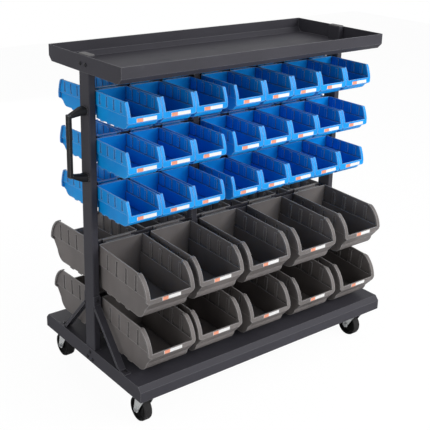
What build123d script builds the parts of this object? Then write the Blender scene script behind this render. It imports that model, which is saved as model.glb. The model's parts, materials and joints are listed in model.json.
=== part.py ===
from build123d import *
import math
import os

# Rolling rack that carries rows of open-front bins on both faces.
# Lengths are in millimetres.  X runs along the rack, -Y is the front, Z is up.
# The origin is on the floor, under the centre of the base.

# Base platform
base_length = 915.0
base_depth = 516.0
base_height = 43.0
base_sheet = 1.5
base_slope_height = 14.0
base_slope_depth = 12.5
base_flange = 84.0

# Top tray
tray_depth = 361.0
tray_height = 44.0
tray_sheet = 1.5
tray_slope = 14.0
tray_room = 47.0

# End posts and their caps
post_width = 20.0
post_depth = 48.0
post_wall = 1.5
post_corner = 3.0
post_foot_gap = 5.0
cap_rise = 3.0
cap_plug = 12.0
cap_fit = 0.2
slot_fit = 0.4

# Hanging rails, one for each row of bins
rail_width = 24.0
rail_height = 22.0
rail_wall = 1.5

# Free height below each row of bins, down to the row or the base under it
small_row_room = 53.0
upper_large_row_room = 94.0
lower_large_row_room = 27.0
base_room = 24.0

# Centre straps
strap_shift = 3.95
strap_width = 16.0
strap_thickness = 2.0

# Diagonal braces
brace_width = 20.0
brace_sheet = 2.0
brace_flange = 7.0
brace_rise = 140.0
brace_reach = 128.0
brace_tab = 28.0
brace_flange_trim = 9.0

# Push handle on the left post
handle_drop = 190.0
handle_hole_spacing = 180.0
handle_grip_length = 170.0
handle_reach = 51.5
handle_bar = 10.0
handle_width = 18.0
handle_edge = 2.5
handle_chamfer = 1.5
handle_foot_width = 32.0
handle_foot_height = 22.0
handle_foot_corner = 9.0
handle_neck_width = 28.0
handle_neck_height = 21.0
handle_neck_reach = 14.0
handle_tip_height = 9.0

# Screws
screw_radius = 2.8
screw_head_radius = 5.0
screw_head_height = 2.8
screw_socket = 3.4
screw_socket_depth = 1.4
screw_length = 14.0
screw_fit = 0.3
tray_screw_spacing = 26.0
tray_screw_height = 21.0
base_screw_spacing = 26.0
base_screw_low = 11.0
base_screw_high = 30.0
strap_screw_drop = 11.0
strap_screw_length = 9.0

# Casters
caster_height = 105.0
caster_end_inset = 49.5
caster_side_inset = 47.0
caster_trail = 25.0
caster_plate_length = 70.0
caster_plate_width = 66.0
caster_plate_thickness = 2.5
caster_plate_corner = 6.0
caster_bolt_spacing_x = 52.0
caster_bolt_spacing_y = 48.0
caster_bolt_length = 8.0
king_pin_radius = 7.0
king_pin_head_radius = 11.0
king_pin_head = 3.0
king_pin_fit = 0.06
swivel_gap = 0.4
yoke_radius = 26.0
yoke_thickness = 4.0
fork_sheet = 2.5
fork_top_width = 46.0
fork_tip_radius = 10.0
wheel_radius = 36.0
wheel_width = 28.0
wheel_edge = 5.0
wheel_hub_width = 30.0
wheel_hub_radius = 11.0
wheel_rim_radius = 27.0
wheel_dish = 4.0
wheel_side_gap = 0.5
axle_radius = 4.0
axle_fit = 0.06
axle_fork_fit = 0.1
axle_head_radius = 7.0
axle_head = 4.0

# Hanging fit of the bins
hang_gap = 0.3
hook_play = 1.9
hook_thickness = 2.5
hook_leg = 2.0
hook_drop = 8.0

# Small bins
small_left_count = 3
small_right_count = 5
small_gap = 1.0
small_row_slack = 9.0
small_row_shift = -5.45
strap_room = 28.0
small_height = 73.0
small_wall = 2.0
small_upper_inset = 3.25
small_lower_inset = 6.75
small_opening_inset = 9.25
small_step = 36.0
small_depth = 162.0
small_rim_slope = 13.0
small_rim_bulge = 1.5
small_rim_depth = 5.0
small_lip_bottom = 19.0
small_lip_sheet = 3.0
small_nose_length = 37.0
small_lip_reach = 13.0
small_nose_height = 13.0
small_corner = 4.0
small_rim_corner = 5.0
small_rim_top_corner = 3.0
small_groove_width = 8.0
small_groove_depth = 2.2
small_groove_foot = 6.0
small_groove_head = 5.0
small_groove_first = 28.0
small_groove_end = 15.5
small_foot_height = 3.0
small_foot_length = 14.0
small_foot_width = 6.0
small_hook_width = 60.0

# Large bins
large_width_share = 0.1743
large_height = 128.0
large_wall = 2.5
large_upper_inset = 4.0
large_lower_inset = 9.0
large_opening_inset = 12.0
large_step = 70.0
large_depth = 243.0
large_rim_slope = 41.0
large_rim_bulge = 8.0
large_rim_depth = 7.0
large_lip_bottom = 57.0
large_lip_sheet = 3.5
large_nose_length = 53.0
large_lip_reach = 21.0
large_nose_height = 30.0
large_corner = 5.0
large_rim_corner = 11.0
large_rim_top_corner = 3.0
large_groove_width = 9.7
large_groove_depth = 3.0
large_groove_foot = 1.5
large_groove_head = 11.0
large_groove_first = 48.0
large_groove_end = 9.1
large_foot_height = 4.0
large_foot_length = 18.0
large_foot_width = 8.0
large_hook_width = 90.0

# Middles of the large bins, as shares of the half length of the rails
large_row_d_share = [-0.8234, -0.4381, -0.0413, 0.3830, 0.8257]
large_row_e_share = [-0.8096, -0.4358, -0.0115, 0.4151, 0.8211]

# Droop of the hanging bins, in degrees
large_row_d_droop = [3.0, 1.9, 2.0, 2.5, 2.0]
large_row_e_droop = [2.8, 2.2, 3.6, 4.0, 5.0]
small_front_droop = 0.0
small_rear_droop = 1.5
large_rear_droop = 1.5

# Grooves on each side of a bin: their number and the thickness of the ribs' flanks
groove_count = 4
rib_flank = 1.2

# Positions that follow from the sizes
base_top = caster_height + base_height
post_outer = base_length / 2 - base_sheet
post_inner = post_outer - post_width
post_centre = post_outer - post_width / 2
caster_x = base_length / 2 - caster_end_inset
caster_y = base_depth / 2 - caster_side_inset
row_e_top = base_top + base_room + large_foot_height + large_height
row_d_top = row_e_top + lower_large_row_room + large_foot_height + large_height
row_c_top = row_d_top + upper_large_row_room + small_foot_height + small_height
row_b_top = row_c_top + small_row_room + small_foot_height + small_height
row_a_top = row_b_top + small_row_room + small_foot_height + small_height
tray_underside = row_a_top + tray_room
tray_length = 2 * (post_outer + tray_sheet)
tray_top = tray_underside + tray_height
handle_middle = tray_underside - handle_drop
small_row_length = 2 * post_inner - small_row_slack
small_pitch = (small_row_length - strap_room + small_gap) / (small_left_count + small_right_count)
small_width = small_pitch - small_gap
small_first_x = small_row_shift - small_row_length / 2 + small_width / 2
small_second_x = small_first_x + small_left_count * small_pitch + strap_room
strap_x = small_second_x - small_pitch / 2 - strap_room / 2 + strap_shift
large_width = 2 * post_inner * large_width_share
large_row_d_x = [share * post_inner for share in large_row_d_share]
large_row_e_x = [share * post_inner for share in large_row_e_share]
rail_half = rail_width / 2
bin_back = rail_half + hang_gap
screw_hole = screw_radius + screw_fit


def side_face(points):
    """Closed flat face from points given as distance towards the front and height."""
    path = Polyline(*[(-front, height) for front, height in points], close=True)
    return make_face(Plane.YZ * path)


def across(face, width):
    """Prism of a side face, centred on the middle plane."""
    return extrude(face, width / 2, dir=(1, 0, 0), both=True)


def block(x_low, x_high, y_low, y_high, z_low, z_high):
    """Rectangular block between two corners."""
    middle = ((x_low + x_high) / 2, (y_low + y_high) / 2, (z_low + z_high) / 2)
    return Pos(*middle) * Box(x_high - x_low, y_high - y_low, z_high - z_low)


def bore(point, direction, radius, length):
    """Round pin centred on a point, used to cut a hole."""
    return Plane(origin=point, z_dir=direction) * Cylinder(radius, length)


def screw(point, direction, length):
    """Button-head screw: the head stands on the surface, the shank goes the other way."""
    head = Pos(0, 0, screw_head_height / 2) * Cylinder(screw_head_radius, screw_head_height)
    crown = head.edges().sort_by(Axis.Z)[-1]
    head = fillet(crown, screw_head_height * 0.7)
    shank = Pos(0, 0, -length / 2) * Cylinder(screw_radius, length)
    socket = extrude(RegularPolygon(screw_socket / 2, 6), screw_socket_depth)
    solid = head + shank - Pos(0, 0, screw_head_height - screw_socket_depth) * socket
    return Plane(origin=point, z_dir=direction) * solid


# Places of the screws: point on the surface and direction of the head
def tray_screws():
    places = []
    for end in (-1, 1):
        for side in (-1, 1):
            height = tray_underside + tray_screw_height
            point = (end * tray_length / 2, side * tray_screw_spacing / 2, height)
            places.append((point, (end, 0, 0)))
    return places


def base_screws():
    places = []
    for end in (-1, 1):
        for side, height in ((0, base_screw_high), (-0.5, base_screw_low), (0.5, base_screw_low)):
            point = (end * base_length / 2, side * base_screw_spacing, caster_height + height)
            places.append((point, (end, 0, 0)))
    return places


def brace_top_screws():
    places = []
    height = base_top + brace_rise + brace_tab / 2
    for end in (-1, 1):
        for side in (-1, 1):
            point = (end * post_centre, side * (post_depth / 2 + brace_sheet), height)
            places.append((point, (0, side, 0)))
    return places


def brace_foot_screws():
    places = []
    reach = post_depth / 2 + brace_reach + brace_tab / 2
    for end in (-1, 1):
        for side in (-1, 1):
            point = (end * post_centre, side * reach, base_top + brace_sheet)
            places.append((point, (0, 0, 1)))
    return places


def handle_screws():
    places = []
    for side in (-1, 1):
        height = handle_middle + side * handle_hole_spacing / 2
        places.append(((-post_outer + post_wall, 0, height), (1, 0, 0)))
    return places


def strap_screws():
    places = []
    for top in rail_tops():
        for side in (-1, 1):
            point = (strap_x, side * (rail_half + strap_thickness), top - strap_screw_drop)
            places.append((point, (0, side, 0)))
    return places


def rail_tops():
    """Height of the upper edges of each rail."""
    rows = (row_a_top, row_b_top, row_c_top, row_d_top, row_e_top)
    return [row - hook_thickness - hang_gap for row in rows]


def drill(solid, places):
    """Clearance holes through a sheet for the screws at these places."""
    for point, direction in places:
        solid = solid - bore(point, direction, screw_hole, 4 * screw_head_radius)
    return solid


def post_slot(end, z_low, z_high):
    """Opening in a folded sheet that a post passes through."""
    inner = end * (post_inner - slot_fit)
    outer = end * post_outer
    half = post_depth / 2 + slot_fit
    return block(min(inner, outer), max(inner, outer), -half, half, z_low, z_high)


# Base platform: folded pan with return flanges below
def make_base():
    half = base_depth / 2
    slope_low = base_top - base_slope_height
    outer = side_face([
        (-half, caster_height),
        (half, caster_height),
        (half, slope_low),
        (half - base_slope_depth, base_top),
        (base_slope_depth - half, base_top),
        (-half, slope_low),
    ])
    inner_half = half - base_sheet
    inner_top = base_top - base_sheet
    inner = side_face([
        (-inner_half, caster_height + base_sheet),
        (inner_half, caster_height + base_sheet),
        (inner_half, slope_low - base_sheet / 2),
        (half - base_slope_depth - base_sheet / 2, inner_top),
        (base_slope_depth + base_sheet / 2 - half, inner_top),
        (-inner_half, slope_low - base_sheet / 2),
    ])
    inner_length = base_length - 2 * base_sheet
    pan = across(outer, base_length) - across(inner, inner_length)
    opening = half - base_flange
    inner_end = inner_length / 2
    flange_top = caster_height + 2 * base_sheet
    pan = pan - block(-inner_end, inner_end, -opening, opening, caster_height - 1, flange_top)
    for end in (-1, 1):
        pan = pan - post_slot(end, base_top - 2 * base_sheet, base_top + 1)
    pan = drill(pan, base_screws())
    pan = drill(pan, brace_foot_screws())
    for x, y in caster_places():
        for bolt_x, bolt_y in caster_bolt_places(x, y):
            pan = pan - bore((bolt_x, bolt_y, caster_height), (0, 0, 1), screw_hole, 4 * base_sheet)
    return pan


# Top tray: folded pan, open upwards
def make_tray():
    half = tray_depth / 2
    slope_high = tray_underside + tray_slope
    outer = side_face([
        (tray_slope - half, tray_underside),
        (half - tray_slope, tray_underside),
        (half, slope_high),
        (half, tray_top),
        (-half, tray_top),
        (-half, slope_high),
    ])
    inner_half = half - tray_sheet
    floor = tray_underside + tray_sheet
    inner = side_face([
        (tray_slope + tray_sheet / 2 - half, floor),
        (half - tray_slope - tray_sheet / 2, floor),
        (inner_half, slope_high + tray_sheet / 2),
        (inner_half, tray_top + 1),
        (-inner_half, tray_top + 1),
        (-inner_half, slope_high + tray_sheet / 2),
    ])
    tray = across(outer, tray_length) - across(inner, tray_length - 2 * tray_sheet)
    for end in (-1, 1):
        tray = tray - post_slot(end, tray_underside - 1, floor + 1)
    return drill(tray, tray_screws())


# Post: rectangular tube behind the end plates of base and tray
def make_post(end):
    low = caster_height + post_foot_gap
    outline = RectangleRounded(post_width, post_depth, post_corner)
    bore_width = post_width - 2 * post_wall
    bore_depth = post_depth - 2 * post_wall
    hollow = RectangleRounded(bore_width, bore_depth, post_corner - post_wall)
    tube = extrude(outline - hollow, tray_top - low)
    tube = Pos(end * post_centre, 0, low) * tube
    same_end = [place for place in tray_screws() + base_screws() if place[0][0] * end > 0]
    tube = drill(tube, same_end)
    tube = drill(tube, [place for place in brace_top_screws() if place[0][0] * end > 0])
    if end < 0:
        for point, direction in handle_screws():
            tube = tube - bore(point, direction, screw_hole, 4 * post_wall)
    return tube


# Plastic cap in the top of a post
def make_cap(end):
    head = extrude(RectangleRounded(post_width, post_depth, post_corner), cap_rise)
    head = fillet(head.faces().sort_by(Axis.Z)[-1].edges(), cap_rise * 0.4)
    plug_width = post_width - 2 * post_wall - 2 * cap_fit
    plug_depth = post_depth - 2 * post_wall - 2 * cap_fit
    plug = extrude(RectangleRounded(plug_width, plug_depth, post_corner - post_wall), -cap_plug)
    return Pos(end * post_centre, 0, tray_top) * (head + plug)


# Rail: channel open upwards between the posts
def make_rail(top):
    outer = block(-post_inner, post_inner, -rail_half, rail_half, top - rail_height, top)
    inner_half = rail_half - rail_wall
    floor = top - rail_height + rail_wall
    inner = block(-post_inner - 1, post_inner + 1, -inner_half, inner_half, floor, top + 1)
    return drill(outer - inner, [place for place in strap_screws() if abs(place[0][2] - top) < rail_height])


# Strap: flat bar on the faces of the rails, from base to tray
def make_strap(side):
    near = side * rail_half
    far = side * (rail_half + strap_thickness)
    left = strap_x - strap_width / 2
    right = strap_x + strap_width / 2
    bar = block(left, right, min(near, far), max(near, far), base_top, tray_underside)
    return drill(bar, [place for place in strap_screws() if place[0][1] * side > 0])


# Brace: folded strip with flattened ends, on the front or the rear of a post
def make_brace(end, side):
    run = math.hypot(brace_reach, brace_rise)
    normal_out = brace_rise / run
    normal_up = brace_reach / run
    sheet = brace_sheet
    knee_up = brace_rise + sheet * (1 - normal_out) / normal_up
    knee_out = (sheet + (brace_rise - sheet) * normal_up) / normal_out
    web = side_face([
        (0, brace_rise + brace_tab),
        (0, brace_rise),
        (brace_reach, 0),
        (brace_reach + brace_tab, 0),
        (brace_reach + brace_tab, sheet),
        (knee_out, sheet),
        (sheet, knee_up),
        (sheet, brace_rise + brace_tab),
    ])
    strip = across(web, brace_width)
    step_out = brace_reach / run
    step_down = brace_rise / run
    start = brace_flange_trim
    finish = run - brace_flange_trim
    deep = brace_flange
    flange = side_face([
        (start * step_out, brace_rise - start * step_down),
        (finish * step_out, brace_rise - finish * step_down),
        (finish * step_out - deep * normal_out, brace_rise - finish * step_down - deep * normal_up),
        (start * step_out - deep * normal_out, brace_rise - start * step_down - deep * normal_up),
    ])
    shift = (brace_width - sheet) / 2
    strip = strip + Pos(shift, 0, 0) * across(flange, sheet) + Pos(-shift, 0, 0) * across(flange, sheet)
    strip = Pos(0, -post_depth / 2, base_top) * strip
    if side > 0:
        strip = mirror(strip, about=Plane.XZ)
    strip = Pos(end * post_centre, 0, 0) * strip
    near = [p for p in brace_top_screws() + brace_foot_screws() if p[0][0] * end > 0 and p[0][1] * side > 0]
    return drill(strip, near)


# Push handle: grip bar with two arms that widen to feet on the outer face of the left post
def make_handle():
    grip_x = handle_reach - handle_bar / 2
    grip = Box(handle_bar, handle_width, handle_grip_length)
    grip = fillet(grip.edges().filter_by(Axis.Z), handle_edge)
    ends = grip.faces().filter_by(Axis.Z).edges()
    handle = Pos(grip_x, 0, 0) * chamfer(ends, handle_chamfer)
    for side in (-1, 1):
        foot_height = side * handle_hole_spacing / 2
        tip_height = side * (handle_grip_length - handle_tip_height - 1) / 2
        foot = Plane.YZ * RectangleRounded(handle_foot_width, handle_foot_height, handle_foot_corner)
        neck = Plane.YZ * RectangleRounded(handle_neck_width, handle_neck_height, handle_foot_corner)
        tip = Plane.YZ * RectangleRounded(handle_width - 1, handle_tip_height, handle_edge)
        foot = Pos(0, 0, foot_height) * foot
        neck = Pos(handle_neck_reach, 0, foot_height) * neck
        tip = Pos(grip_x, 0, tip_height) * tip
        arm = loft([foot, neck, tip], ruled=True)
        handle = handle + arm
    handle = Pos(-post_outer, 0, handle_middle) * (Rot(0, 0, 180) * handle)
    for point, direction in handle_screws():
        hole = (-post_outer, 0, point[2])
        handle = handle - bore(hole, direction, screw_hole, 2 * screw_length)
    return handle


# Casters: places of the swivel axes and of the bolts
def caster_places():
    return [(-caster_x, -caster_y), (caster_x, -caster_y), (-caster_x, caster_y), (caster_x, caster_y)]


def caster_bolt_places(x, y):
    half_x = caster_bolt_spacing_x / 2
    half_y = caster_bolt_spacing_y / 2
    return [(x + i * half_x, y + j * half_y) for j in (-1, 1) for i in (-1, 1)]


def yoke_top():
    return caster_height - caster_plate_thickness - swivel_gap


# Caster plate with its king pin
def make_caster_plate(x, y):
    outline = RectangleRounded(caster_plate_length, caster_plate_width, caster_plate_corner)
    plate = Pos(0, 0, caster_height - caster_plate_thickness) * extrude(outline, caster_plate_thickness)
    pin_low = yoke_top() - yoke_thickness - swivel_gap
    pin_length = caster_height - caster_plate_thickness - pin_low
    pin = Pos(0, 0, pin_low + pin_length / 2) * Cylinder(king_pin_radius, pin_length)
    head = Pos(0, 0, pin_low - king_pin_head / 2) * Cylinder(king_pin_head_radius, king_pin_head)
    solid = Pos(x, y, 0) * (plate + pin + head)
    for bolt_x, bolt_y in caster_bolt_places(x, y):
        place = (bolt_x, bolt_y, caster_height)
        solid = solid - bore(place, (0, 0, 1), screw_hole, 4 * caster_plate_thickness)
    return solid


# Bolt through the caster plate and the flange of the base, head below
def make_caster_bolts():
    bolts = []
    for x, y in caster_places():
        for bolt_x, bolt_y in caster_bolt_places(x, y):
            point = (bolt_x, bolt_y, caster_height - caster_plate_thickness)
            bolts.append(screw(point, (0, 0, -1), caster_bolt_length))
    return bolts


# Fork: round yoke with two tapering legs
def make_fork(x, y):
    top = yoke_top()
    yoke = Pos(0, 0, top - yoke_thickness / 2) * Cylinder(yoke_radius, yoke_thickness)
    leg_inner = wheel_hub_width / 2 + wheel_side_gap
    half = fork_top_width / 2
    leg_top = top - yoke_thickness
    leg = make_face(Plane.YZ * Polyline(
        (-half, top),
        (half, top),
        (half, leg_top),
        (caster_trail + fork_tip_radius, wheel_radius),
        (caster_trail - fork_tip_radius, wheel_radius),
        (-half, leg_top),
        close=True,
    ))
    hub = Plane(origin=(0, caster_trail, wheel_radius), z_dir=(1, 0, 0))
    tip = hub * Cylinder(fork_tip_radius, fork_sheet)
    side = across(leg, fork_sheet) + tip
    shift = leg_inner + fork_sheet / 2
    fork = yoke + Pos(shift, 0, 0) * side + Pos(-shift, 0, 0) * side
    fork = fork - Pos(0, 0, top) * Cylinder(king_pin_radius + king_pin_fit, 4 * yoke_thickness)
    hole = bore((0, caster_trail, wheel_radius), (1, 0, 0), axle_radius + axle_fork_fit, 4 * leg_inner)
    return Pos(x, y, 0) * (fork - hole)


# Axle bolt with a head and a nut outside the fork legs
def make_axle(x, y):
    half = wheel_hub_width / 2 + wheel_side_gap + fork_sheet
    shank = Cylinder(axle_radius, 2 * half)
    head = extrude(RegularPolygon(axle_head_radius, 6), axle_head)
    bolt = shank + Pos(0, 0, half) * head + Pos(0, 0, -half - axle_head) * head
    bolt = Plane(origin=(0, caster_trail, wheel_radius), z_dir=(1, 0, 0)) * bolt
    return Pos(x, y, 0) * bolt


# Wheel: turned profile with rounded tread edges and dished sides
def make_wheel(x, y):
    half = wheel_width / 2
    hub_half = wheel_hub_width / 2
    bore_radius = axle_radius + axle_fit
    dish_half = half - wheel_dish
    outline = Polyline(
        (bore_radius, -hub_half),
        (wheel_hub_radius, -hub_half),
        (wheel_hub_radius + 1.5, -dish_half),
        (wheel_rim_radius - 1.5, -dish_half),
        (wheel_rim_radius, -half),
        (wheel_radius - wheel_edge, -half),
        (wheel_radius - wheel_edge * 0.3, -half + wheel_edge * 0.3),
        (wheel_radius, -half + wheel_edge),
        (wheel_radius, half - wheel_edge),
        (wheel_radius - wheel_edge * 0.3, half - wheel_edge * 0.3),
        (wheel_radius - wheel_edge, half),
        (wheel_rim_radius, half),
        (wheel_rim_radius - 1.5, dish_half),
        (wheel_hub_radius + 1.5, dish_half),
        (wheel_hub_radius, hub_half),
        (bore_radius, hub_half),
        close=True,
    )
    wheel = revolve(make_face(Plane.XZ * outline), Axis.Z)
    wheel = Plane(origin=(0, caster_trail, wheel_radius), z_dir=(1, 0, 0)) * wheel
    return Pos(x, y, 0) * wheel


# Bins: sizes gathered by kind
def small_bin_sizes():
    rim_top = small_depth - small_rim_slope
    groove_span = rim_top - small_rim_depth - small_groove_first - small_groove_end
    return dict(
        width=small_width, height=small_height, wall=small_wall, step=small_step,
        upper=small_width - 2 * small_upper_inset, lower=small_width - 2 * small_lower_inset,
        opening=small_width - 2 * small_opening_inset, depth=small_depth, rim_top=rim_top,
        bulge=small_rim_bulge, rim_depth=small_rim_depth, rim_corner=small_rim_corner,
        rim_top_corner=small_rim_top_corner, lip_bottom=small_lip_bottom,
        lip_sheet=small_lip_sheet, nose_start=small_depth - small_nose_length,
        nose_end=small_depth - small_lip_reach, nose_height=small_nose_height,
        corner=small_corner, groove_width=small_groove_width, groove_depth=small_groove_depth,
        groove_low=small_step + small_groove_foot, groove_high=small_height - small_groove_head,
        groove_first=small_groove_first, groove_pitch=groove_span / (groove_count - 1),
        foot_height=small_foot_height, foot_length=small_foot_length,
        foot_width=small_foot_width, hook_width=small_hook_width,
    )


def large_bin_sizes():
    rim_top = large_depth - large_rim_slope
    groove_span = rim_top - large_rim_depth - large_groove_first - large_groove_end
    return dict(
        width=large_width, height=large_height, wall=large_wall, step=large_step,
        upper=large_width - 2 * large_upper_inset, lower=large_width - 2 * large_lower_inset,
        opening=large_width - 2 * large_opening_inset, depth=large_depth, rim_top=rim_top,
        bulge=large_rim_bulge, rim_depth=large_rim_depth, rim_corner=large_rim_corner,
        rim_top_corner=large_rim_top_corner, lip_bottom=large_lip_bottom,
        lip_sheet=large_lip_sheet, nose_start=large_depth - large_nose_length,
        nose_end=large_depth - large_lip_reach, nose_height=large_nose_height,
        corner=large_corner, groove_width=large_groove_width, groove_depth=large_groove_depth,
        groove_low=large_step + large_groove_foot, groove_high=large_height - large_groove_head,
        groove_first=large_groove_first, groove_pitch=groove_span / (groove_count - 1),
        foot_height=large_foot_height, foot_length=large_foot_length,
        foot_width=large_foot_width, hook_width=large_hook_width,
    )


def bowed(start, finish, bulge):
    """Arc between two side points, bowed outwards towards the front and up."""
    front = finish[0] - start[0]
    height = finish[1] - start[1]
    length = math.hypot(front, height)
    middle_front = (start[0] + finish[0]) / 2 - bulge * height / length
    middle_height = (start[1] + finish[1]) / 2 + bulge * front / length
    middle = (middle_front, middle_height)
    return ThreePointArc(*[(-point[0], point[1]) for point in (start, middle, finish)])


def path(*points):
    """Straight lines between side points."""
    return Polyline(*[(-front, height) for front, height in points])


def nose(start, finish):
    """Rounded lower front edge, from the floor of the bin to its front wall."""
    middle = (start[0] + 0.68 * (finish[0] - start[0]), start[1] + 0.32 * (finish[1] - start[1]))
    return ThreePointArc(*[(-point[0], point[1]) for point in (start, middle, finish)])


def bin_lower(s):
    """Narrow lower body with the wedge-shaped lip."""
    start = (s["nose_start"], 0)
    finish = (s["nose_end"], s["nose_height"])
    lip_low = (s["depth"], s["lip_bottom"])
    lines = path(start, (0, 0), (0, s["step"]), (s["depth"], s["step"]), lip_low, finish)
    body = across(make_face(Plane.YZ * (lines + nose(start, finish))), s["lower"])
    upright = [edge for edge in body.edges().filter_by(Axis.Z) if edge.center().Y > -1]
    return fillet(upright, s["corner"])


def bin_lower_hollow(s):
    wall = s["wall"]
    start = (s["nose_start"], wall)
    finish = (s["nose_end"] - wall, s["nose_height"])
    lip = (s["depth"] - s["lip_sheet"], s["step"])
    lines = path(start, (wall, wall), (wall, s["step"]), lip, finish)
    return across(make_face(Plane.YZ * (lines + nose(start, finish))), s["lower"] - 2 * wall)


def bin_upper(s):
    """Wide upper body behind the bowed rim."""
    top = (s["rim_top"], s["height"])
    lip = (s["depth"], s["step"])
    lines = path(lip, (0, s["step"]), (0, s["height"]), top)
    body = across(make_face(Plane.YZ * (lines + bowed(top, lip, s["bulge"]))), s["upper"])
    upright = [edge for edge in body.edges().filter_by(Axis.Z) if edge.center().Y > -1]
    return fillet(upright, s["corner"])


def bin_rim(s):
    """Outward flange that follows the front edge and runs down to the lip."""
    top = (s["rim_top"], s["height"])
    lip = (s["depth"], s["step"])
    back = s["rim_depth"]
    back_top = (top[0] - back, top[1])
    back_lip = (lip[0] - back, lip[1])
    low = (s["depth"], s["lip_bottom"])
    back_low = (s["depth"] - back, s["lip_bottom"])
    outline = bowed(top, lip, s["bulge"]) + path(lip, low, back_low, back_lip)
    outline = outline + bowed(back_top, back_lip, s["bulge"]) + path(back_top, top)
    band = across(make_face(Plane.YZ * outline), s["width"])
    level = band.edges().filter_by(Axis.Y)
    ends = [edge for edge in level if abs(abs(edge.center().X) - s["width"] / 2) < 0.01]
    upper_ends = [edge for edge in ends if edge.center().Z > s["step"]]
    band = fillet(upper_ends, s["rim_top_corner"])
    level = band.edges().filter_by(Axis.Y)
    ends = [edge for edge in level if abs(edge.center().Z - s["lip_bottom"]) < 0.01]
    return fillet(ends, s["rim_corner"])


def bin_upper_hollow(s):
    """Room behind the rim, above the ledges at its sides, and the narrower opening through the rim."""
    wall = s["wall"]
    back = s["rim_depth"]
    top = (s["rim_top"] - back, s["height"])
    lip = (s["depth"] - back, s["step"])
    over = s["height"] + 1
    lines = path(lip, (wall, s["step"]), (wall, over), (top[0], over), top)
    outline = lines + bowed(top, lip, s["bulge"])
    room = across(make_face(Plane.YZ * outline), s["upper"] - 2 * wall)
    for side in (-1, 1):
        ledge_inner = side * (s["lower"] / 2 - wall)
        ledge_outer = side * s["upper"] / 2
        low = min(ledge_inner, ledge_outer)
        high = max(ledge_inner, ledge_outer)
        room = room - block(low, high, -s["depth"], 0, s["step"], s["step"] + wall)
    half = s["opening"] / 2
    mouth = block(-half, half, -s["depth"] - 1, -wall - s["corner"], s["step"], over)
    return room + mouth


def bin_grooves(s, inside):
    """Upright grooves in the sides; inside they stand out as ribs."""
    shapes = []
    depth = s["groove_depth"]
    face = s["upper"] / 2
    half = s["groove_width"] / 2
    low_end = s["groove_low"]
    high_end = s["groove_high"]
    if inside:
        face = face - s["wall"]
        half = half + rib_flank
        low_end = low_end - rib_flank
        high_end = high_end + rib_flank
    for side in (-1, 1):
        for index in range(groove_count):
            middle = s["groove_first"] + index * s["groove_pitch"]
            near = side * (face - depth)
            far = side * face
            low = min(near, far)
            high = max(near, far)
            groove = block(low, high, -middle - half, half - middle, low_end, high_end)
            shapes.append(groove)
    return shapes


def bin_feet(s):
    """Short stacking feet below the long edges."""
    feet = []
    edge = s["lower"] / 2
    for side in (-1, 1):
        for index in range(groove_count - 1):
            middle = s["groove_first"] + index * s["groove_pitch"]
            near = side * (edge - s["foot_width"])
            far = side * edge
            half = s["foot_length"] / 2
            low = min(near, far)
            high = max(near, far)
            foot = block(low, high, -middle - half, half - middle, -s["foot_height"], s["wall"])
            feet.append(foot)
    return feet


def bin_hook(s):
    """Plate and leg that hang over the wall of the rail."""
    leg_near = 2 * hang_gap + rail_wall + hook_play
    leg_far = leg_near + hook_leg
    half = s["hook_width"] / 2
    top = s["height"]
    plate = block(-half, half, -s["wall"], leg_far, top - hook_thickness, top)
    leg = block(-half, half, leg_near, leg_far, top - hook_thickness - hook_drop, top)
    return plate + leg


def make_bin(s):
    """Open-front bin; its back is on the plane y = 0 and its floor on z = 0."""
    solid = bin_lower(s) + bin_upper(s) + bin_rim(s)
    solid = solid - bin_lower_hollow(s) - bin_upper_hollow(s)
    solid = solid - bin_grooves(s, False)
    solid = solid + bin_grooves(s, True) + bin_feet(s) + bin_hook(s)
    return solid


# Rows of bins
def small_row_x():
    left = [small_first_x + index * small_pitch for index in range(small_left_count)]
    right = [small_second_x + index * small_pitch for index in range(small_right_count)]
    return left + right


def hung(solid, height, droop):
    """Bin turned about the upper edge of its back, then moved out until its back clears the rail."""
    turned = Pos(0, 0, height) * (Rot(droop, 0, 0) * (Pos(0, 0, -height) * solid))
    reach_down = rail_height + hook_thickness + hang_gap
    return Pos(0, -bin_back - reach_down * math.sin(math.radians(droop)), 0) * turned


def place_front(solid, x, row_top, height, droop):
    return Pos(x, 0, row_top - height) * hung(solid, height, droop)


def place_rear(solid, x, row_top, height, droop):
    return Pos(x, 0, row_top - height) * mirror(hung(solid, height, droop), about=Plane.XZ)


def save(solids, name):
    """Write one node, one or more solids, to its own file."""
    if len(solids) == 1:
        shape = solids[0]
    else:
        shape = Compound(children=solids)
    shape.label = name
    export_step(shape, "parts/" + name + ".step")


def as_solid(shape):
    """The single solid of a shape."""
    solids = shape.solids()
    if len(solids) != 1:
        raise ValueError("one solid was expected, not " + str(len(solids)))
    return solids[0]


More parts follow.
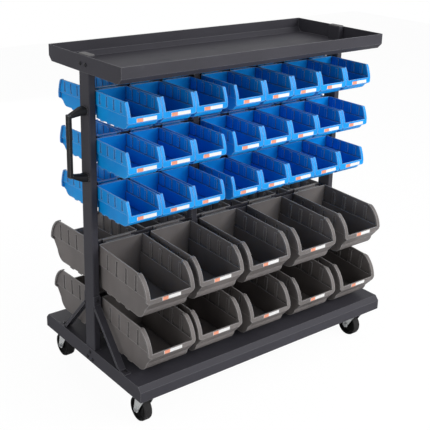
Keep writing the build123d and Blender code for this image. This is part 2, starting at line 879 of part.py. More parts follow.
def main():
    os.makedirs("parts", exist_ok=True)
    save([as_solid(make_base())], "base_platform")
    save([as_solid(make_tray())], "top_tray")
    save([as_solid(make_post(-1))], "post_left")
    save([as_solid(make_post(1))], "post_right")
    save([as_solid(make_cap(end)) for end in (-1, 1)], "post_caps")
    save([as_solid(make_rail(top)) for top in rail_tops()], "hanging_rails")
    save([as_solid(make_strap(side)) for side in (-1, 1)], "centre_straps")
    save([as_solid(make_brace(end, side)) for end in (-1, 1) for side in (-1, 1)], "braces")
    save([as_solid(make_handle())], "push_handle")
    places = tray_screws() + base_screws() + brace_top_screws() + brace_foot_screws() + handle_screws()
    screws = [as_solid(screw(point, direction, screw_length)) for point, direction in places]
    short = [as_solid(screw(point, direction, strap_screw_length)) for point, direction in strap_screws()]
    save(screws + short, "frame_screws")
    save([as_solid(make_caster_plate(x, y)) for x, y in caster_places()], "caster_plates")
    save([as_solid(bolt) for bolt in make_caster_bolts()], "caster_bolts")
    names = ("front_left", "front_right", "rear_left", "rear_right")
    for name, (x, y) in zip(names, caster_places()):
        save([as_solid(make_fork(x, y))], "caster_fork_" + name)
        save([as_solid(make_wheel(x, y))], "caster_wheel_" + name)
        save([as_solid(make_axle(x, y))], "caster_axle_" + name)
    small = as_solid(make_bin(small_bin_sizes()))
    large = as_solid(make_bin(large_bin_sizes()))
    rear_small = []
    rear_large = []
    for row, top in (("a", row_a_top), ("b", row_b_top), ("c", row_c_top)):
        for index, x in enumerate(small_row_x()):
            front = place_front(small, x, top, small_height, small_front_droop)
            save([front], "small_bin_" + row + str(index + 1))
            rear_small.append(place_rear(small, x, top, small_height, small_rear_droop))
    row_d = ("d", row_d_top, large_row_d_x, large_row_d_droop)
    row_e = ("e", row_e_top, large_row_e_x, large_row_e_droop)
    for row, top, places_x, droops in (row_d, row_e):
        for index, x in enumerate(places_x):
            front = place_front(large, x, top, large_height, droops[index])
            save([front], "large_bin_" + row + str(index + 1))
            rear_large.append(place_rear(large, x, top, large_height, large_rear_droop))
    save(rear_small, "rear_small_bins")
    save(rear_large, "rear_large_bins")


main()
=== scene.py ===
"""Looks of a rolling bin rack: finishes for its frame, bins and casters, label cards and a plain stage."""

import json
import math

import bpy
import numpy as np
from bpy.props import FloatProperty, FloatVectorProperty, PointerProperty
from mathutils import Matrix, Vector


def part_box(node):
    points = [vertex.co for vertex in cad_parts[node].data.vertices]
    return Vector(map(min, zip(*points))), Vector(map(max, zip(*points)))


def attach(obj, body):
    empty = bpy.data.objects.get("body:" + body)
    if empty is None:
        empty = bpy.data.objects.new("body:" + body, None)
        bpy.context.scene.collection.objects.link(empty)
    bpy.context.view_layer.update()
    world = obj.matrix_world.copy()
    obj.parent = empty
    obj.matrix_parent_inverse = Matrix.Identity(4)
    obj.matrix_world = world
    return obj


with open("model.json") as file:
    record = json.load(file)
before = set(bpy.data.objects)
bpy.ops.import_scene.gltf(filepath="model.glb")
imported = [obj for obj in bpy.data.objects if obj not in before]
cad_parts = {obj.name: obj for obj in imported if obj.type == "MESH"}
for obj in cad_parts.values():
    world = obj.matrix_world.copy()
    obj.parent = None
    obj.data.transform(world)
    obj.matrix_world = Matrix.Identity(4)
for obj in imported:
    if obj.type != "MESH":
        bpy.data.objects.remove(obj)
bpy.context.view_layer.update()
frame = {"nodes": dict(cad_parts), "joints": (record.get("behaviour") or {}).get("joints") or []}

bl_info = {
    "name": "Rolling Bin Rack",
    "version": (1, 0, 0),
    "blender": (4, 5, 0),
    "location": "View3D > Sidebar > Bin Rack",
    "description": "Finishes, label cards and stage for a rolling rack of open-front bins",
    "category": "Object",
}

NODES = frame["nodes"]
SMALL_BINS = sorted(name for name in NODES if name.startswith("small_bin_"))
LARGE_BINS = sorted(name for name in NODES if name.startswith("large_bin_"))
CORNERS = ("front_left", "front_right", "rear_left", "rear_right")
COATED = ("base_platform", "top_tray", "post_left", "post_right", "hanging_rails", "centre_straps", "braces")
LIFTS = {joint["child"]: joint["axis"] for joint in frame["joints"] if joint["type"] == "slide"}

# Height of the feet under a bin's floor, in metres
SMALL_FOOT = 0.003
LARGE_FOOT = 0.004

# Room around a front bin's box in which the points of the bin behind it are looked for, in metres
SIDE_ROOM = 0.0003
ROW_ROOM = 0.010

# A card has this many rings of points across its width, and this many points in each ring
CARD_STEPS = 12
CARD_RING = 6

# White margin to the left of a card's block, as a share of the card's width
MARK_MARGIN = 0.02

# The paler tread of a wheel sets in between these depths below its running face, in metres
TREAD_DEPTHS = (0.0024, 0.0008)

# Index of refraction, which sets how strong each finish's gloss is
PLASTIC_IOR = 1.26
COAT_IOR = 1.29
RUBBER_IOR = 1.18
PAPER_IOR = 1.22

# Floor: half its width and depth, how far it lies below the wheels, and its points along each side
FLOOR_HALF = (6.0, 5.0)
FLOOR_DROP = 0.0004
FLOOR_STEPS = 24

# White that the floor shows to the camera, and the share of it in the floor's look there
FLOOR_GLOW = 1.02
FLOOR_GLOW_SHARE = 0.94

# Each lamp: its name, its place, the point it is aimed at and its width
LAMPS = (
    ("key", (0.9, -3.5, 1.8), (0.0, 0.0, 0.55), 2.4),
    ("fill", (-3.2, -0.6, 1.5), (0.0, 0.0, 0.55), 2.2),
    ("top", (0.0, 0.3, 3.4), (0.0, 0.0, 0.5), 2.6),
    ("side", (2.1, -2.3, 2.2), (0.0, -0.1, 0.4), 1.4),
    ("rear", (0.05, 3.3, 0.50), (0.0, 0.0, 0.5), 0.9),
)

# Camera: its place in metres, its angles, and the shift of its picture as a share of the width
CAMERA_PLACE = (-1.5298, -1.8838, 1.4063)
CAMERA_TURN = math.radians(38.00)
CAMERA_TIP = math.radians(18.74)
CAMERA_ROLL = math.radians(1.25)
CAMERA_SHIFT = (0.0222, -0.0997)
SENSOR_WIDTH = 36.0


def colour(name, description, default):
    """A colour property with its name, description and default."""
    return FloatVectorProperty(name=name, description=description, default=default, size=3,
                               subtype="COLOR", min=0.0, max=1.0)


def length(name, description, default):
    """A length property in metres."""
    return FloatProperty(name=name, description=description, default=default,
                         unit="LENGTH", subtype="DISTANCE")


def number(name, description, default):
    """A property that is a plain number of at least 0."""
    return FloatProperty(name=name, description=description, default=default, min=0.0)


class RackColours(bpy.types.PropertyGroup):
    """Colours of the rack's finishes, as linear values."""
    frame_dark: colour("Frame dark", "Powder coat in its darker patches", (0.0310, 0.0299, 0.0374))
    frame_light: colour("Frame light", "Powder coat in its lighter patches", (0.0476, 0.0460, 0.0566))
    # Pale colour for dust on the frame and for the painted highlight along its edges
    frame_dust_and_edge_highlight: colour("Frame worn", "Powder coat along its edges and under dust", (0.26, 0.26, 0.28))
    blue_dark: colour("Blue dark", "Blue bins in their deeper patches", (0.001, 0.258, 0.720))
    blue_light: colour("Blue light", "Blue bins in their lighter patches", (0.005, 0.345, 0.865))
    grey_dark: colour("Grey dark", "Grey bins in their deeper patches", (0.134, 0.122, 0.119))
    grey_light: colour("Grey light", "Grey bins in their lighter patches", (0.191, 0.174, 0.169))
    handle: colour("Handle", "Moulded handle", (0.008, 0.008, 0.009))
    cap: colour("Caps", "Post caps", (0.09, 0.088, 0.09))
    zinc: colour("Zinc", "Plated caster steel", (0.86, 0.88, 0.88))
    bolt: colour("Bolts", "Axle bolts", (0.45, 0.46, 0.47))
    black_screw: colour("Screws", "Blackened screws", (0.035, 0.035, 0.038))
    wheel: colour("Wheel", "Wheel body", (0.0035, 0.0035, 0.0038))
    tread: colour("Tread", "Running face of the wheel", (0.030, 0.0293, 0.030))
    card: colour("Card", "Paper of the label cards", (0.80, 0.80, 0.79))
    card_mark: colour("Card mark", "Plain block on the label cards", (0.82, 0.26, 0.13))


class CardSizes(bpy.types.PropertyGroup):
    """Sizes of the label cards on the bins' lips."""
    small_width: length("Small card width", "Length of the card on a small bin", 0.060)
    small_left: length("Small card margin", "From the left edge of the rim to the card", 0.026)
    large_width: length("Large card width", "Length of the card on a large bin", 0.058)
    large_left: length("Large card margin", "From the left edge of the rim to the card", 0.049)
    height: length("Card height", "Height of a card", 0.0095)
    thickness: length("Card thickness", "Thickness of card and clear cover", 0.0006)
    small_rise: length("Small card rise", "Middle of the card above the floor of a small bin", 0.026)
    large_rise: length("Large card rise", "Middle of the card above the floor of a large bin", 0.0635)
    mark_share: number("Mark share", "Part of the card that the plain block takes", 0.32)


class StageSizes(bpy.types.PropertyGroup):
    """Lens, lamps and the light all round."""
    lens: number("Lens", "Focal length of the camera, in millimetres", 72.30)
    key_power: number("Key power", "Power of the lamp in front", 72.0)
    fill_power: number("Fill power", "Power of the lamp at the handle end", 27.0)
    top_power: number("Top power", "Power of the lamp above", 8.0)
    side_power: number("Side power", "Power of the lamp at the end without the handle", 45.0)
    rear_power: number("Rear power", "Power of the lamp behind", 52.0)
    sky: number("Sky", "Strength of the even light all round", 0.26)


class Value:
    """A number that changes over a surface. Arithmetic on it adds Math nodes."""

    def __init__(self, paint, socket):
        self.paint = paint
        self.socket = socket

    def calc(self, operation, first, second):
        """The result of a Math node on two inputs."""
        return self.paint.node("ShaderNodeMath", {"operation": operation}, {0: first, 1: second}).value(0)

    def __add__(self, other):
        return self.calc("ADD", self, other)

    def __radd__(self, other):
        return self.calc("ADD", other, self)

    def __sub__(self, other):
        return self.calc("SUBTRACT", self, other)

    def __rsub__(self, other):
        return self.calc("SUBTRACT", other, self)

    def __mul__(self, other):
        return self.calc("MULTIPLY", self, other)

    def __rmul__(self, other):
        return self.calc("MULTIPLY", other, self)

    def __pow__(self, other):
        return self.calc("POWER", self, other)

    def above(self, limit):
        """1 where the value is over the limit, 0 elsewhere."""
        return self.calc("GREATER_THAN", self, limit)

    def ramp(self, low, high):
        """0 below low, 1 above high, smooth between."""
        return self.paint.node("ShaderNodeMapRange", {"interpolation_type": "SMOOTHSTEP", "clamp": True},
                               {"Value": self, "From Min": low, "From Max": high}).value("Result")


class Made:
    """A node that was just made, with its outputs as values or plain sockets."""

    def __init__(self, paint, node):
        self.paint = paint
        self.node = node

    def value(self, key):
        return Value(self.paint, self.node.outputs[key])

    def socket(self, key):
        return self.node.outputs[key]


class Paint:
    """One material, built from nodes around a single glossy surface shader."""

    def __init__(self, name):
        self.material = bpy.data.materials.new(name)
        self.material.use_nodes = True
        self.tree = self.material.node_tree
        self.tree.nodes.clear()
        self.surface = self.node("ShaderNodeBsdfPrincipled").node
        self.out = self.node("ShaderNodeOutputMaterial").node
        self.tree.links.new(self.surface.outputs[0], self.out.inputs["Surface"])

    def node(self, kind, settings=None, inputs=None):
        """Adds a node: its settings first, then values or links on its sockets."""
        made = self.tree.nodes.new(kind)
        for key, setting in (settings or {}).items():
            setattr(made, key, setting)
        for key, given in (inputs or {}).items():
            self.feed(made.inputs[key], given)
        return Made(self, made)

    def feed(self, socket, given):
        """Links a value or an output to a socket, or sets a plain number on it."""
        if isinstance(given, Value):
            given = given.socket
        if isinstance(given, bpy.types.NodeSocket):
            self.tree.links.new(given, socket)
        else:
            socket.default_value = given

    def place(self):
        """Object coordinates, in metres."""
        return self.node("ShaderNodeTexCoord").socket("Object")

    def axis(self, name):
        """One object coordinate as a value."""
        return self.node("ShaderNodeSeparateXYZ", None, {"Vector": self.place()}).value(name)

    def stretched(self, x, y, z):
        """Object coordinates drawn out by different factors along the axes."""
        inputs = {0: self.place(), 1: (x, y, z)}
        return self.node("ShaderNodeVectorMath", {"operation": "MULTIPLY"}, inputs).socket(0)

    def noise(self, scale, detail=2.0, rough=0.5, vector=None):
        """Even mottling between about 0.3 and 0.7."""
        inputs = {"Vector": vector or self.place(), "Scale": scale, "Detail": detail, "Roughness": rough}
        return self.node("ShaderNodeTexNoise", None, inputs).value("Fac")

    def cells(self, scale):
        """Distance to the nearest of many scattered points."""
        inputs = {"Vector": self.place(), "Scale": scale}
        return self.node("ShaderNodeTexVoronoi", None, inputs).value("Distance")

    def mix(self, factor, first, second):
        """A colour between two colours."""
        first = first if isinstance(first, bpy.types.NodeSocket) else (*first, 1.0)
        second = second if isinstance(second, bpy.types.NodeSocket) else (*second, 1.0)
        made = self.node("ShaderNodeMix", {"data_type": "RGBA"}, {0: factor, 6: first, 7: second})
        return made.socket(2)

    def rounded(self, radius):
        """Surface direction with its edges softened."""
        return self.node("ShaderNodeBevel", {"samples": 4}, {"Radius": radius}).socket(0)

    def edge(self, radius):
        """1 along edges, where the softened direction leaves the flat one; it places painted highlights."""
        flat = self.node("ShaderNodeNewGeometry").socket("Normal")
        both = {0: self.rounded(radius), 1: flat}
        match = self.node("ShaderNodeVectorMath", {"operation": "DOT_PRODUCT"}, both).value("Value")
        return (1.0 - match).ramp(0.01, 0.16)

    def hollow(self, reach):
        """1 down in grooves and corners whose walls stand within reach, 0 out on open faces; it places
        painted shade.
        """
        settings = {"samples": 8, "only_local": True}
        clear = self.node("ShaderNodeAmbientOcclusion", settings, {"Distance": reach}).value("AO")
        return (1.0 - clear).ramp(0.12, 0.55)

    def bump(self, height, distance, strength, normal=None):
        """Surface direction with fine relief, over a softened direction where one is given."""
        inputs = {"Height": height, "Distance": distance, "Strength": strength}
        if normal is not None:
            inputs["Normal"] = normal
        return self.node("ShaderNodeBump", None, inputs).socket(0)

    def set(self, **given):
        """Values or links on the surface shader; names use _ for a space."""
        for key, value in given.items():
            self.feed(self.surface.inputs[key.replace("_", " ")], value)
        return self.material


def scaled(base, factor):
    """A colour made darker or lighter by a factor."""
    return tuple(factor * part for part in base)


def moulded(name, dark, light, roughness, grain, edge):
    """Moulded plastic: cloudy colour, fine grain, faint flow lines and scuffs, rims made pale by a painted
    highlight and grooves made dark by painted shade.
    """
    paint = Paint(name)
    cloud = paint.noise(7.0, 3.0).ramp(0.35, 0.65)
    flow = paint.noise(60.0, 2.0, 0.5, paint.stretched(1.0, 1.0, 0.12))
    fine = paint.noise(grain, 2.0)
    scuff = paint.noise(45.0, 4.0, 0.7, paint.stretched(1.0, 0.3, 1.6)).ramp(0.66, 0.74)
    shade = paint.mix(cloud * 0.7 + flow * 0.3, dark, light)
    # pale is the colour of the scuffs and of a painted highlight; rim marks the rims and edges that get this
    # painted highlight
    pale = tuple(0.45 * part + 0.33 for part in light)
    rim = paint.edge(3.2 * edge)
    shade = paint.mix(scuff * 0.07 + rim * 0.85, shade, pale)
    # Painted shade: grooves and corners darkened towards three tenths of the dark colour
    shade = paint.mix(paint.hollow(6.0 * edge) * 0.7, shade, scaled(dark, 0.3))
    rough = roughness + 0.10 * cloud + 0.12 * scuff + 0.06 * fine
    normal = paint.bump(fine + 0.5 * flow, 0.00012, 0.5, paint.rounded(edge))
    return paint.set(Base_Color=shade, Roughness=rough, Normal=normal, IOR=PLASTIC_IOR)


def powder_coat(colours):
    """Charcoal powder coat with faint streaks along the sheet, dusty patches and edges made paler by a
    painted highlight.
    """
    paint = Paint("charcoal_powder_coat")
    cloud = paint.noise(5.0, 4.0).ramp(0.3, 0.7)
    streak = paint.noise(170.0, 3.0, 0.6, paint.stretched(0.06, 1.0, 1.0))
    peel = paint.noise(900.0, 2.0)
    speck = paint.cells(1400.0)
    dust = paint.noise(28.0, 5.0, 0.65).ramp(0.58, 0.75)
    shade = paint.mix(cloud * 0.5 + streak * 0.5, tuple(colours.frame_dark), tuple(colours.frame_light))
    # Painted highlight along the edges, a little stronger where dust lies; the same pale colour also stands
    # for the dust
    edge_highlight = paint.edge(0.0024) * (0.75 + 0.25 * dust)
    shade = paint.mix(dust * 0.05 + edge_highlight * 0.8, shade, tuple(colours.frame_dust_and_edge_highlight))
    rough = 0.40 + 0.08 * cloud + 0.12 * dust + 0.08 * peel + 0.14 * streak
    normal = paint.bump(peel + 0.4 * speck, 0.00014, 0.55, paint.rounded(0.0010))
    return paint.set(Base_Color=shade, Roughness=rough, Normal=normal, IOR=COAT_IOR)


def plated(name, base, roughness):
    """Plated or blackened steel: fine drawn lines, cloudy tone and a few dull spots."""
    paint = Paint(name)
    drawn = paint.noise(260.0, 2.0, 0.5, paint.stretched(1.0, 1.0, 0.08))
    cloud = paint.noise(40.0, 3.0).ramp(0.35, 0.65)
    spot = paint.noise(120.0, 3.0, 0.7).ramp(0.62, 0.72)
    shade = paint.mix(cloud * 0.25 + spot * 0.5, tuple(base), scaled(base, 0.62))
    rough = roughness + 0.12 * drawn + 0.15 * spot
    normal = paint.bump(drawn, 0.00006, 0.4, paint.rounded(0.0006))
    return paint.set(Base_Color=shade, Metallic=1.0, Roughness=rough, Normal=normal)


def rubber(node, colours):
    """Wheel: black moulded body with a paler, dusty running face, told by the distance from the axle."""
    points = corner_points(node)
    low, high = points.min(0), points.max(0)
    middle = (low + high) / 2
    outer = float(high[2] - low[2]) / 2
    paint = Paint("rubber_of_" + node)
    along = paint.axis("Y") - float(middle[1])
    rise = paint.axis("Z") - float(middle[2])
    away = (along * along + rise * rise) ** 0.5
    face = away.ramp(outer - TREAD_DEPTHS[0], outer - TREAD_DEPTHS[1])
    grain = paint.noise(700.0, 2.0)
    dust = paint.noise(60.0, 4.0, 0.6).ramp(0.45, 0.7)
    shade = paint.mix(face * (0.8 + 0.2 * dust) + dust * 0.05, tuple(colours.wheel), tuple(colours.tread))
    rough = 0.5 + 0.2 * dust + 0.1 * grain
    normal = paint.bump(grain, 0.0001, 0.5, paint.rounded(0.0012))
    return paint.set(Base_Color=shade, Roughness=rough, Normal=normal, IOR=RUBBER_IOR)


def card_paper(colours, sizes):
    """Label card: pale paper with one plain block at the left, read from the card's own map."""
    paint = Paint("label_card")
    across = paint.node("ShaderNodeSeparateXYZ", None,
                        {"Vector": paint.node("ShaderNodeUVMap", {"uv_map": "card"}).socket(0)})
    fibre = paint.noise(900.0, 3.0)
    left = across.value("X")
    block = (1.0 - left.above(sizes.mark_share)) * left.above(MARK_MARGIN)
    paper = tuple(colours.card)
    shade = paint.mix(fibre * 0.25, paper, scaled(paper, 0.90))
    shade = paint.mix(block * (0.78 + 0.2 * fibre), shade, tuple(colours.card_mark))
    normal = paint.bump(fibre, 0.00003, 0.3)
    return paint.set(Base_Color=shade, Roughness=0.48 + 0.1 * fibre, Normal=normal, IOR=PAPER_IOR)


def new_mesh(name, points, faces, material):
    """An object from arrays of points and faces, with one material."""
    mesh = bpy.data.meshes.new(name)
    mesh.from_pydata(points.tolist(), [], faces.tolist())
    mesh.materials.append(material)
    piece = bpy.data.objects.new(name, mesh)
    bpy.context.scene.collection.objects.link(piece)
    return piece


def new_cards(name, points, faces, body, material, card_map):
    """One card or a group of cards, with a map; it rides a body."""
    piece = new_mesh(name, points, faces, material)
    mesh = piece.data
    layer = mesh.uv_layers.new(name="card")
    corner = np.empty(len(mesh.loops), dtype=np.int32)
    mesh.loops.foreach_get("vertex_index", corner)
    layer.data.foreach_set("uv", card_map[corner].astype(np.float32).ravel())
    mesh.validate()
    mesh.update()
    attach(piece, body)


def swept_quads(steps, ring, closed):
    """Quads between neighbouring rows of points; a closed row also joins its last point to its first."""
    i, j = np.meshgrid(np.arange(steps - 1), np.arange(ring if closed else ring - 1), indexing="ij")
    after = (j + 1) % ring
    corners = (i * ring + j, (i + 1) * ring + j, (i + 1) * ring + after, i * ring + after)
    return np.stack(corners, -1).reshape(-1, 4)


def card_shell(width, height, thick):
    """A thin card: a closed ring of profile points swept across the width, and its map.

    Across the width u runs from 0 to 1. The profile is a rectangle with its front edges cut off. Its
    front bows forward by a sixth of the thickness as 1 - (2u - 1)^4, so that the ends lie flat.
    """
    u = np.linspace(0.0, 1.0, CARD_STEPS)
    half = height / 2
    bead = thick * 0.4
    ring_z = np.array([-half, -half, -half + bead, half - bead, half, half])
    ring_y = np.array([0.0, -thick + bead, -thick, -thick, -thick + bead, 0.0])
    bow = 1.0 + (1.0 - (2.0 * u - 1.0) ** 4) / 6.0
    x = np.repeat((u - 0.5)[:, None] * width, CARD_RING, axis=1)
    y = bow[:, None] * ring_y[None, :]
    z = np.repeat(ring_z[None, :], CARD_STEPS, axis=0)
    points = np.stack([x, y, z], -1).reshape(-1, 3)
    card_map = np.stack([np.repeat(u, CARD_RING), np.tile((ring_z + half) / height, CARD_STEPS)], -1)
    return points, card_map


def card_faces():
    """Quads of the swept ring and the two end caps."""
    low = np.array([[0, 1, 4, 5], [1, 2, 3, 4]])
    high = low[:, ::-1] + (CARD_STEPS - 1) * CARD_RING
    return np.concatenate([swept_quads(CARD_STEPS, CARD_RING, True), low, high])


def turned(points, tilt):
    """Points turned about the X axis: y cos - z sin, y sin + z cos."""
    y, z = points[:, 1], points[:, 2]
    cos, sin = math.cos(tilt), math.sin(tilt)
    return np.stack([points[:, 0], y * cos - z * sin, y * sin + z * cos], -1)


def corner_points(node):
    """All points of a node's mesh."""
    found = np.empty(3 * len(NODES[node].data.vertices), dtype=np.float32)
    NODES[node].data.vertices.foreach_get("co", found)
    return found.reshape(-1, 3).astype(float)


def droop(node):
    """Angle by which a bin leans out from its rail, read from the line along which it lifts off."""
    along = LIFTS[node + "_body"]
    return math.atan2(-along[1], along[2])


def front_card(node, shell, left, width, rise):
    """A card on the lip of a front bin: placed in the bin's own level box, then tilted with the bin."""
    tilt = droop(node)
    level = turned(corner_points(node), -tilt)
    low = level.min(0)
    return turned(shell + np.array([low[0] + left + width / 2, low[1], low[2] + rise]), tilt)


def rear_card(node, points, group, shell, left, width, rise):
    """The card of the bin behind a front bin: the rear points in the same window give its level box."""
    low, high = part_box(node)
    near = (points[:, 0] > low.x - SIDE_ROOM) & (points[:, 0] < high.x + SIDE_ROOM)
    near = near & (points[:, 2] > low.z - ROW_ROOM) & (points[:, 2] < high.z + ROW_ROOM)
    tilt = droop(group)
    level = turned(points[near], -tilt)
    place = np.array([level[:, 0].max() - left - width / 2, level[:, 1].max(), level[:, 2].min() + rise])
    return turned(shell * np.array([-1.0, -1.0, 1.0]) + place, tilt)


def paint_nodes(names, material):
    """Gives CAD nodes a finish."""
    for name in names:
        slots = NODES[name].data.materials
        slots.clear()
        slots.append(material)


class RACK_OT_frame_finish(bpy.types.Operator):
    """Powder coat on base, tray, posts, rails, straps and braces; caps, handle and screws"""
    bl_idname = "rack.frame_finish"
    bl_label = "Finish frame"

    def execute(self, context):
        colours = context.scene.rack_colours
        paint_nodes(COATED, powder_coat(colours))
        cap = tuple(colours.cap)
        cap_plastic = moulded("cap_plastic", cap, scaled(cap, 1.15), 0.42, 700.0, 0.0008)
        paint_nodes(("post_caps",), cap_plastic)
        grip = tuple(colours.handle)
        grip_plastic = moulded("handle_plastic", grip, scaled(grip, 1.3), 0.40, 600.0, 0.001)
        paint_nodes(("push_handle",), grip_plastic)
        paint_nodes(("frame_screws",), plated("blackened_steel", colours.black_screw, 0.38))
        return {"FINISHED"}


class RACK_OT_bin_finish(bpy.types.Operator):
    """Moulded plastic of the small and large bins"""
    bl_idname = "rack.bin_finish"
    bl_label = "Finish bins"

    def execute(self, context):
        colours = context.scene.rack_colours
        blue = moulded("blue_polypropylene", tuple(colours.blue_dark), tuple(colours.blue_light),
                       0.30, 650.0, 0.0010)
        grey = moulded("grey_polypropylene", tuple(colours.grey_dark), tuple(colours.grey_light),
                       0.34, 600.0, 0.0012)
        paint_nodes([*SMALL_BINS, "rear_small_bins"], blue)
        paint_nodes([*LARGE_BINS, "rear_large_bins"], grey)
        return {"FINISHED"}


class RACK_OT_caster_finish(bpy.types.Operator):
    """Plated steel and rubber of the casters"""
    bl_idname = "rack.caster_finish"
    bl_label = "Finish casters"

    def execute(self, context):
        colours = context.scene.rack_colours
        zinc = plated("zinc_plate", colours.zinc, 0.26)
        bolt = plated("bolt_steel", colours.bolt, 0.32)
        paint_nodes(["caster_plates", "caster_bolts", *("caster_fork_" + c for c in CORNERS)], zinc)
        paint_nodes(["caster_axle_" + c for c in CORNERS], bolt)
        for name in ("caster_wheel_" + c for c in CORNERS):
            paint_nodes([name], rubber(name, colours))
        return {"FINISHED"}


class RACK_OT_label_cards(bpy.types.Operator):
    """One label card on the lip of each bin, front and rear"""
    bl_idname = "rack.label_cards"
    bl_label = "Add label cards"

    def execute(self, context):
        sizes = context.scene.rack_cards
        paper = card_paper(context.scene.rack_colours, sizes)
        faces = card_faces()
        kinds = (
            (SMALL_BINS, sizes.small_width, sizes.small_left, sizes.small_rise + SMALL_FOOT,
             "blue_plastic", "rear_small_bins"),
            (LARGE_BINS, sizes.large_width, sizes.large_left, sizes.large_rise + LARGE_FOOT,
             "grey_plastic", "rear_large_bins"),
        )
        for names, width, left, rise, slot, rear in kinds:
            shell, card_map = card_shell(width, sizes.height, sizes.thickness)
            for name in names:
                card = front_card(name, shell, left, width, rise)
                new_cards("card_" + name, card, faces, name + "_body", paper, card_map)
            points = corner_points(rear)
            cards = [rear_card(name, points, rear, shell, left, width, rise) for name in names]
            shift = np.arange(len(names))[:, None, None] * len(shell)
            all_faces = (faces[None] + shift).reshape(-1, 4)
            all_maps = np.tile(card_map, (len(names), 1))
            new_cards("cards_" + rear, np.concatenate(cards), all_faces, rear + "_body",
                      paper, all_maps)
        return {"FINISHED"}


class RACK_OT_stage(bpy.types.Operator):
    """Pale floor, soft lamps, white surround and the camera"""
    bl_idname = "rack.stage"
    bl_label = "Set stage"

    def execute(self, context):
        sizes = context.scene.rack_stage
        pale_floor()
        for name, place, target, size in LAMPS:
            lamp(name + "_lamp", place, target, size, getattr(sizes, name + "_power"))
        surround(sizes.sky)
        camera(sizes.lens)
        context.scene.view_settings.view_transform = "Standard"
        return {"FINISHED"}


def pale_floor():
    """A wide flat floor, nearly white to the camera, with a faint shadow."""
    span = np.linspace(-1.0, 1.0, FLOOR_STEPS)
    u, v = np.meshgrid(span, span, indexing="ij")
    height = np.full_like(u, -FLOOR_DROP)
    points = np.stack([FLOOR_HALF[0] * u, FLOOR_HALF[1] * v, height], -1).reshape(-1, 3)
    paint = Paint("pale_floor")
    tone = paint.noise(1.5, 2.0)
    shade = paint.mix(tone, (0.90, 0.90, 0.90), (0.93, 0.93, 0.93))
    paint.set(Base_Color=shade, Roughness=0.9)
    seen = paint.node("ShaderNodeLightPath").value("Is Camera Ray") * FLOOR_GLOW_SHARE
    glow = paint.node("ShaderNodeEmission", None, {"Color": (1.0, 1.0, 1.0, 1.0), "Strength": FLOOR_GLOW})
    inputs = {0: seen, 1: paint.surface.outputs[0], 2: glow.socket(0)}
    blend = paint.node("ShaderNodeMixShader", None, inputs)
    paint.tree.links.new(blend.socket(0), paint.out.inputs["Surface"])
    floor = new_mesh("floor", points, swept_quads(FLOOR_STEPS, FLOOR_STEPS, False), paint.material)


def lamp(name, place, target, size, power):
    """A square soft lamp aimed at a point."""
    data = bpy.data.lights.new(name, "AREA")
    data.shape = "SQUARE"
    data.size = size
    data.energy = power
    made = bpy.data.objects.new(name, data)
    made.location = place
    made.rotation_euler = (Vector(target) - Vector(place)).to_track_quat("-Z", "Y").to_euler()
    bpy.context.scene.collection.objects.link(made)


def surround(strength):
    """White to camera, glossy and transmission rays, an even soft light otherwise."""
    world = bpy.data.worlds.new("white_surround")
    world.use_nodes = True
    nodes = world.node_tree.nodes
    links = world.node_tree.links
    nodes.clear()
    rays = nodes.new("ShaderNodeLightPath")
    white = rays.outputs["Is Camera Ray"]
    for kind in ("Is Glossy Ray", "Is Transmission Ray"):
        either = nodes.new("ShaderNodeMath")
        either.operation = "MAXIMUM"
        links.new(white, either.inputs[0])
        links.new(rays.outputs[kind], either.inputs[1])
        white = either.outputs[0]
    level = nodes.new("ShaderNodeMapRange")
    level.inputs["To Min"].default_value = strength
    level.inputs["To Max"].default_value = 1.0
    links.new(white, level.inputs["Value"])
    sky = nodes.new("ShaderNodeBackground")
    sky.inputs["Color"].default_value = (1.0, 1.0, 1.0, 1.0)
    links.new(level.outputs[0], sky.inputs["Strength"])
    out = nodes.new("ShaderNodeOutputWorld")
    links.new(sky.outputs[0], out.inputs["Surface"])
    bpy.context.scene.world = world


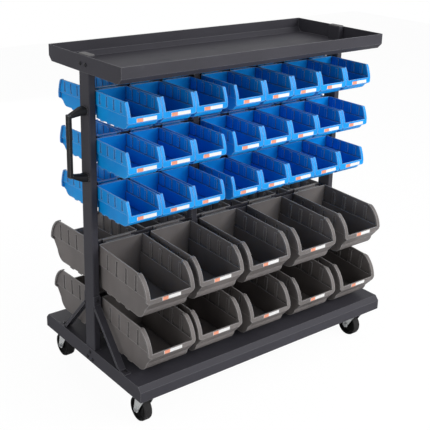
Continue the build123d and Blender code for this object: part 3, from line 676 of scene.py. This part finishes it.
def camera(lens):
    """Camera at the viewing angle of the picture: turned, tipped down and rolled a little."""
    ahead = Vector((math.sin(CAMERA_TURN) * math.cos(CAMERA_TIP),
                    math.cos(CAMERA_TURN) * math.cos(CAMERA_TIP),
                    -math.sin(CAMERA_TIP)))
    right = Vector((math.cos(CAMERA_TURN), -math.sin(CAMERA_TURN), 0.0))
    above = right.cross(ahead)
    side = math.cos(CAMERA_ROLL) * right + math.sin(CAMERA_ROLL) * above
    top = math.cos(CAMERA_ROLL) * above - math.sin(CAMERA_ROLL) * right
    data = bpy.data.cameras.new("camera")
    data.lens = lens
    data.sensor_width = SENSOR_WIDTH
    data.shift_x, data.shift_y = CAMERA_SHIFT
    facing = Matrix((side, top, -ahead)).transposed().to_4x4()
    facing.translation = Vector(CAMERA_PLACE)
    made = bpy.data.objects.new("camera", data)
    made.matrix_world = facing
    bpy.context.scene.collection.objects.link(made)
    bpy.context.scene.camera = made


STEPS = (RACK_OT_frame_finish, RACK_OT_bin_finish, RACK_OT_caster_finish, RACK_OT_label_cards, RACK_OT_stage)
GROUPS = (RackColours, CardSizes, StageSizes)


class RACK_PT_panel(bpy.types.Panel):
    """Steps and values of the rack"""
    bl_idname = "RACK_PT_panel"
    bl_label = "Bin Rack"
    bl_space_type = "VIEW_3D"
    bl_region_type = "UI"
    bl_category = "Bin Rack"

    def draw(self, context):
        for step in STEPS:
            self.layout.operator(step.bl_idname)
        for group in (context.scene.rack_colours, context.scene.rack_cards, context.scene.rack_stage):
            box = self.layout.box()
            for key in group.__annotations__:
                box.prop(group, key)


def register():
    for part in (*GROUPS, *STEPS, RACK_PT_panel):
        bpy.utils.register_class(part)
    bpy.types.Scene.rack_colours = PointerProperty(type=RackColours)
    bpy.types.Scene.rack_cards = PointerProperty(type=CardSizes)
    bpy.types.Scene.rack_stage = PointerProperty(type=StageSizes)


def unregister():
    del bpy.types.Scene.rack_stage
    del bpy.types.Scene.rack_cards
    del bpy.types.Scene.rack_colours
    for part in reversed((*GROUPS, *STEPS, RACK_PT_panel)):
        bpy.utils.unregister_class(part)


def main():
    register()
    bpy.ops.rack.frame_finish()
    bpy.ops.rack.bin_finish()
    bpy.ops.rack.caster_finish()
    bpy.ops.rack.label_cards()
    bpy.ops.rack.stage()


if __name__ == "__main__":
    main()
